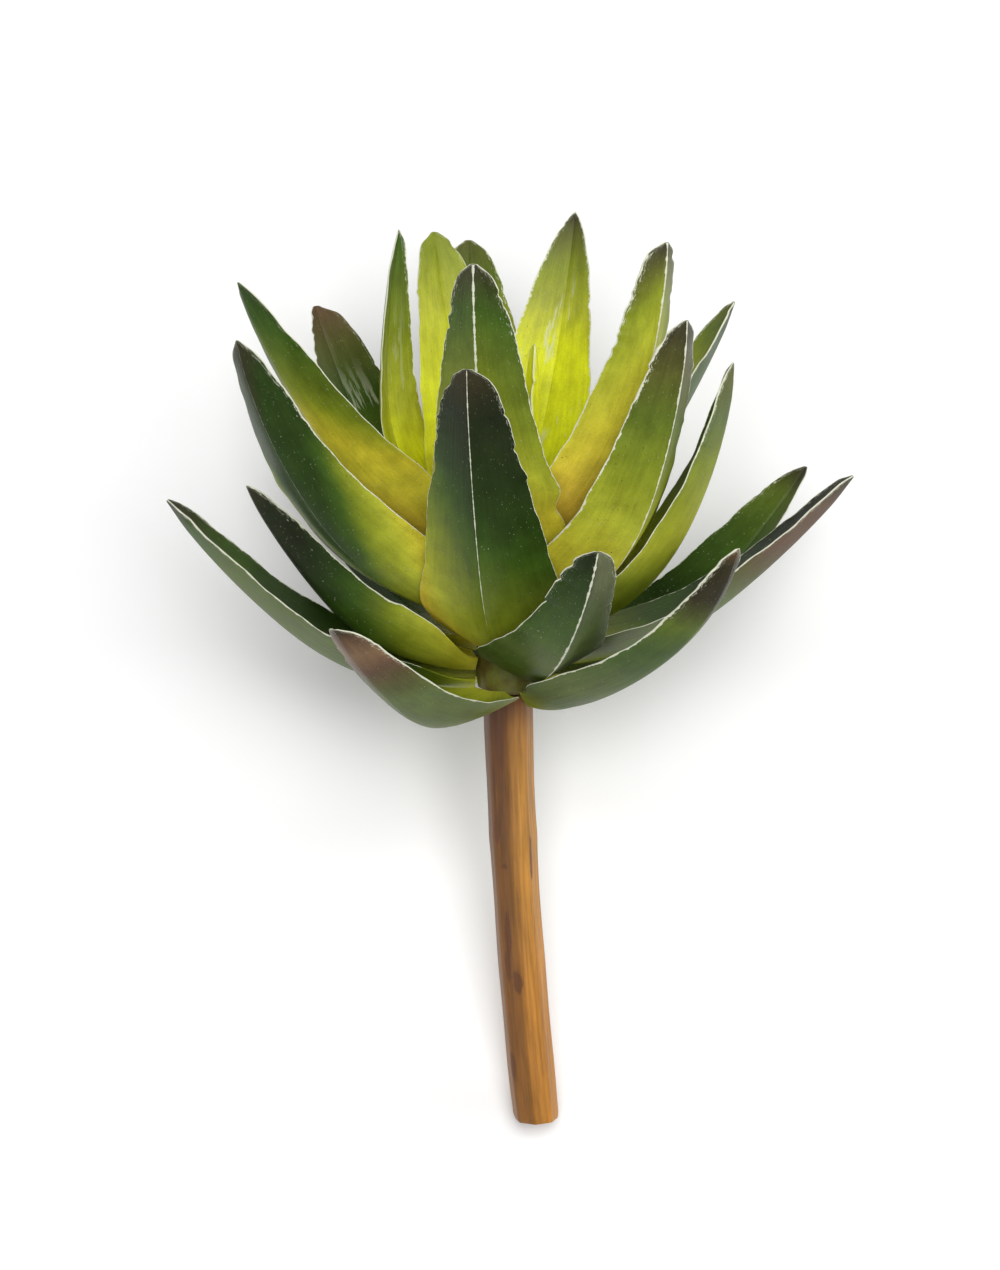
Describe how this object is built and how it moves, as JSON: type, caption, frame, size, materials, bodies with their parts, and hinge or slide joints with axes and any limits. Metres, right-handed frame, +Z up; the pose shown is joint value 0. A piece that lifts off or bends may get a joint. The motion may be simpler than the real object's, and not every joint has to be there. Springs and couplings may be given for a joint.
{
  "type": "artificial succulent stem",
  "caption": "Moulded succulent rosette of long, keeled, cupped and pointed leaves on a short bare stem with a cut end, lying on its side.",
  "frame": {"origin": "on the ground under the middle of the bounding box", "axes": "+Z up from the ground, +Y from the cut end of the stem towards the crown of the rosette, +X across the rosette"},
  "size_m": [0.1276, 0.1712, 0.1105],
  "materials": {
    "leaf_dark": "soft satin, dark green with brown tips",
    "leaf_mid": "soft satin, olive green with brown tips",
    "leaf_light": "soft satin, yellow green",
    "core": "matte yellow green",
    "stem": "satin tan with brown patches"
  },
  "bodies": {
    "root": {"stem": "stem", "leaf_core": "core", "lower_leaf_1": "leaf_dark", "lower_leaf_2": "leaf_dark", "lower_leaf_3": "leaf_dark", "lower_leaf_4": "leaf_dark", "lower_leaf_5": "leaf_dark", "shoulder_leaf_1": "leaf_dark", "shoulder_leaf_2": "leaf_dark", "shoulder_leaf_3": "leaf_dark", "shoulder_leaf_4": "leaf_dark", "shoulder_leaf_5": "leaf_dark", "middle_leaf_1": "leaf_mid", "middle_leaf_2": "leaf_mid", "middle_leaf_3": "leaf_mid", "middle_leaf_4": "leaf_mid", "middle_leaf_5": "leaf_mid", "middle_leaf_6": "leaf_mid", "middle_leaf_7": "leaf_mid", "upper_leaf_1": "leaf_mid", "upper_leaf_2": "leaf_mid", "upper_leaf_3": "leaf_mid", "upper_leaf_4": "leaf_mid", "inner_leaf_1": "leaf_light", "inner_leaf_2": "leaf_light", "inner_leaf_3": "leaf_light", "crown_leaf": "leaf_light", "bud_leaf_1": "leaf_light", "bud_leaf_2": "leaf_light", "bud_leaf_3": "leaf_light"}
  },
  "joints": []
}
